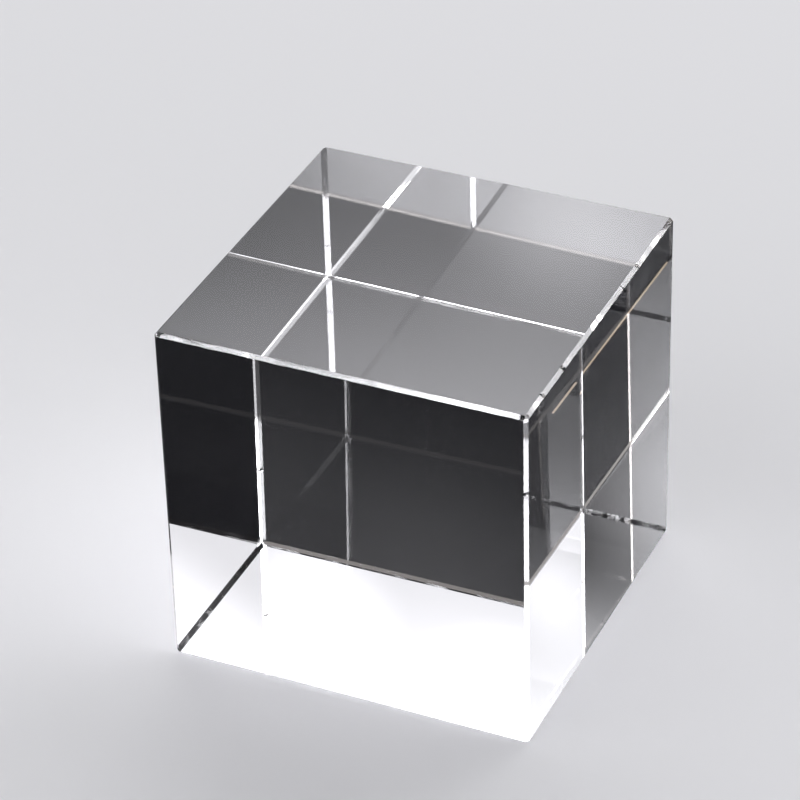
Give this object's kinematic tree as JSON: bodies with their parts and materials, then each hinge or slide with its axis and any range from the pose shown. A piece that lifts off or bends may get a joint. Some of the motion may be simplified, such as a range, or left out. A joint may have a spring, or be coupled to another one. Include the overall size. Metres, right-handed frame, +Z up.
{
  "type": "display cube",
  "caption": "Solid clear display cube with chamfered, polished edges; free-standing on any face.",
  "frame": {"origin": "centre of the underside, on the surface that the cube rests on", "axes": "+Z is up, square to the underside; +X and +Y are square to two neighbouring side faces"},
  "size_m": [0.06, 0.06, 0.06],
  "materials": {
    "clear_glass": "optically polished on every face and chamfer"
  },
  "bodies": {
    "root": {"display_block": "clear_glass"}
  },
  "joints": []
}
